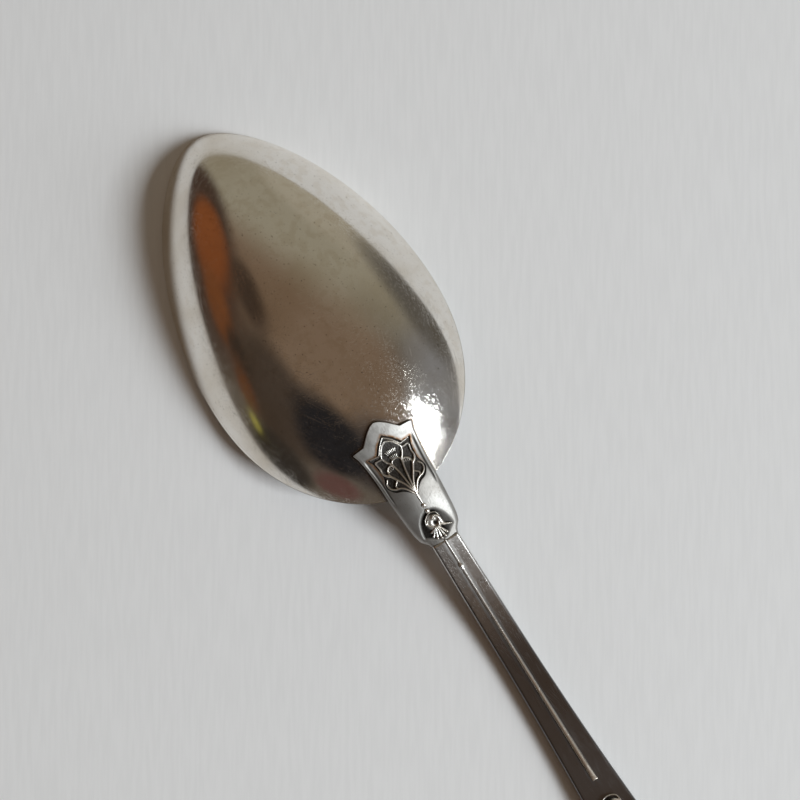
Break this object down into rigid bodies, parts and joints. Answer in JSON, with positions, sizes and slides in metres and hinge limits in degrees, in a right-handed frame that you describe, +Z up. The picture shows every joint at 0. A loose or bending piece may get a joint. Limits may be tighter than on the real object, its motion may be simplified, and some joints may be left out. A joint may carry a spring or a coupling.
{
  "type": "souvenir spoon",
  "caption": "Small souvenir teaspoon lying face down, with a pointed oval bowl, a flower on the heel drop, buds and a raised line on an arched handle that widens to a finial.",
  "frame": {"origin": "middle of the spoon's length, on its centre line, at the height of the surface that it lies on face down", "axes": "+X from the bowl's tip towards the end of the handle, +Y across the spoon, +Z up, out of the back of the bowl"},
  "size_m": [0.14, 0.029, 0.0095],
  "materials": {
    "bowl_silver": "worn polished silver with warm tarnish and fine scratches",
    "neck_silver": "satin silver, finely grained, tarnished",
    "handle_silver": "worn silver with grey-brown tarnish",
    "relief_silver": "struck silver relief with oxidised recesses"
  },
  "bodies": {
    "root": {"bowl": "bowl_silver", "heel_drop": "neck_silver", "heel_flower": "relief_silver", "flower_stem": "relief_silver", "stem_beads": "relief_silver", "neck_bud": "relief_silver", "handle": "handle_silver", "midrib": "relief_silver", "handle_bud": "relief_silver", "finial_flower_back": "relief_silver", "finial_flower_front": "relief_silver"}
  },
  "joints": []
}
